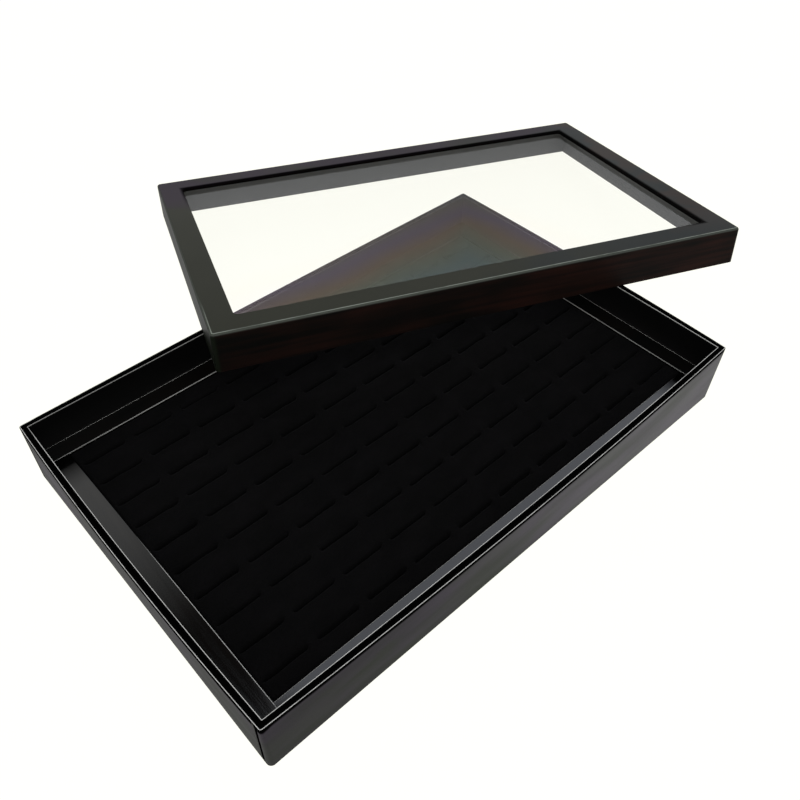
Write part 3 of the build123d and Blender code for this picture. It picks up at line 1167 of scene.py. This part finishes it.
@dataclass
class Lid:
    """The lid: its wrapping paper, boards and window."""

    wrap: str = "lid_wrap"
    film: str = "window_film"

    def outline(self, seat: Seat) -> Outline:
        """The lid's outer size in its own frame."""
        local = (mesh_points(self.wrap) - np.array(seat.origin)) @ np.array(seat.axes)
        length, depth, height = (float(part) for part in np.ptp(local, axis=0) / MM)
        return Outline(half_length=0.5 * length, half_depth=0.5 * depth, height=height)

    def build(self) -> None:
        """Dress the lid's nodes."""
        seat = Seat.of_lid(self.film, self.wrap)
        outline = self.outline(seat)
        LOG.info("lid: %s", outline)
        dress(self.wrap, LidPaper("lid_paper", outline=outline).material(seat))
        dress(self.film, ClearFilm("clear_film").material(seat))
        tape = Tape("black_tape", colour=(0.012,) * 3, shade=(0.006,) * 3, roughness=0.5)
        dress("film_tapes", tape.material(seat))
        board = Greyboard("lid_greyboard").material(seat)
        dress("lid_top_board", board)
        for side in Side:
            dress(f"lid_skirt_{side.value}", board)


# --- Studio ---


@dataclass(frozen=True)
class Glow:
    """A soft bright patch of the room. Angles in degrees; the azimuth turns from +Y to +X."""

    azimuth: float
    elevation: float
    inner: float
    outer: float
    brightness: float

    def share(self, direction: Direction) -> Value:
        """How much of the patch is seen in a direction.

        Args:
            direction: The direction's three numbers.

        Returns:
            1 inside the inner angle and 0 outside the outer one.
        """
        turn, rise = math.radians(self.azimuth), math.radians(self.elevation)
        middle = (math.sin(turn) * math.cos(rise), math.cos(turn) * math.cos(rise), math.sin(rise))
        near = sum((part * way for part, way in zip(middle, direction)), start=0.0)
        return near.step(math.cos(math.radians(self.outer)), math.cos(math.radians(self.inner)))


@dataclass(frozen=True)
class Window:
    """A large soft window. It spans azimuths and elevations, in degrees, with a soft border."""

    azimuths: Pair = (23.0, 100.0)
    elevations: Pair = (38.0, 78.0)
    border: float = 2.5
    brightness: float = 1.45

    def share(self, direction: Direction) -> Value:
        """How much of the window is seen in a direction.

        Args:
            direction: The direction's three numbers.

        Returns:
            1 in the window and 0 outside it.
        """
        x, y, up = direction
        soft = math.radians(self.border)
        first, last = (math.radians(angle) for angle in self.azimuths)
        low, high = (math.sin(math.radians(angle)) for angle in self.elevations)
        after = (x * math.cos(first) - y * math.sin(first)).step(-0.3 * soft, 0.7 * soft)
        before = (y * math.sin(last) - x * math.cos(last)).step(0.0, 2.0 * soft)
        return after * before * up.step(low, low + soft) * up.step(high, high - soft)


@dataclass(frozen=True)
class Shot:
    """The camera. Metres and degrees; the focal length is in pixels of the square picture."""

    place: Triple = (-0.18594, -0.20598, 0.32055)
    aim: Triple = (0.01898, 0.01365, 0.0)
    roll: float = 0.9
    focal_pixels: float = 823.6
    picture_pixels: float = 800.0
    sensor: float = 36.0
    clip: Pair = (0.01, 50.0)

    def build(self) -> None:
        """Place the camera and make it the scene's."""
        data = bpy.data.cameras.new("camera")
        data.sensor_width = self.sensor
        data.sensor_fit = "HORIZONTAL"
        data.lens = self.sensor * self.focal_pixels / self.picture_pixels
        data.clip_start, data.clip_end = self.clip
        camera = bpy.data.objects.new("camera", data)
        level = (Vector(self.aim) - Vector(self.place)).to_track_quat("-Z", "Y").to_matrix()
        rolled = level @ Matrix.Rotation(math.radians(self.roll), 3, "Z")
        camera.matrix_world = Matrix.LocRotScale(Vector(self.place), rolled, None)
        bpy.context.scene.collection.objects.link(camera)
        bpy.context.scene.camera = camera


@dataclass
class Studio:
    """The white sweep, its soft light and the camera."""

    floor_size: float = 12.0
    sky: Colour = (1.0, 1.0, 0.985)
    cool: Colour = (0.92, 0.96, 1.06)
    horizon: Pair = (-0.1, 0.05)
    front: Pair = (-0.65, -0.35)
    front_room: float = 0.20
    floor_room: float = 0.275
    rooms: tuple[Triple, ...] = (  # from which rise, to which rise, and how bright above it
        (-0.90, -0.45, 0.45),
        (0.16, 0.36, 0.80),
        (0.38, 0.72, 0.05),
    )
    shot: Shot = field(default_factory=Shot)
    window: Window = Window()
    glows: tuple[Glow, ...] = (
        Glow(2.0, 42.0, 9.0, 20.0, 1.15),
        Glow(-140.0, 58.0, 12.0, 40.0, 2.2),
        Glow(107.0, -30.0, 6.0, 38.0, 0.35),
    )

    def build(self) -> None:
        """Set up the floor, the light and the camera."""
        self.floor()
        self.world()
        self.shot.build()
        scene = bpy.context.scene
        scene.view_settings.view_transform = "Standard"
        scene.view_settings.look = "None"

    def floor(self) -> None:
        """Lay the pale floor, which the gloss of the box doesn't mirror."""
        half = 0.5 * self.floor_size
        mesh = bpy.data.meshes.new("floor")
        corners = [(-half, -half, 0.0), (half, -half, 0.0), (half, half, 0.0), (-half, half, 0.0)]
        mesh.from_pydata(corners, [], [(0, 1, 2, 3)])
        mesh.materials.append(Tabletop("white_table").material(Seat.upright()))
        floor = bpy.data.objects.new("floor", mesh)
        floor.visible_glossy = False
        bpy.context.scene.collection.objects.link(floor)

    def world(self) -> None:
        """Fill the room with light: pale low down, dark above, with a few soft patches."""
        world = bpy.data.worlds.new("studio")
        world.use_nodes = True
        graph = Graph(world.node_tree)
        direction = graph.split(graph.node("ShaderNodeTexCoord").outputs["Generated"])
        _, y, up = direction
        behind = y.step(*self.front).at_least(up.step(*self.horizon))
        light = self.front_room + (self.floor_room - self.front_room) * behind
        for start, end, room in self.rooms:
            light = light + (room - light) * up.step(start, end) * behind
        window = self.window.share(direction)
        light = light + window * self.window.brightness
        for glow in self.glows:
            light = light + glow.share(direction) * glow.brightness
        colour = graph.mix(window, self.sky, self.cool)
        shown = graph.node("ShaderNodeBackground", {"Color": colour, "Strength": light})
        graph.node("ShaderNodeOutputWorld", {"Surface": shown.outputs[0]})
        bpy.context.scene.world = world


def main() -> None:
    """Dress the box and set up its picture."""
    logging.basicConfig(level=logging.INFO, format="%(name)s: %(message)s")
    Studio().build()
    Tray().build()
    Lid().build()


if __name__ == "__main__":
    main()
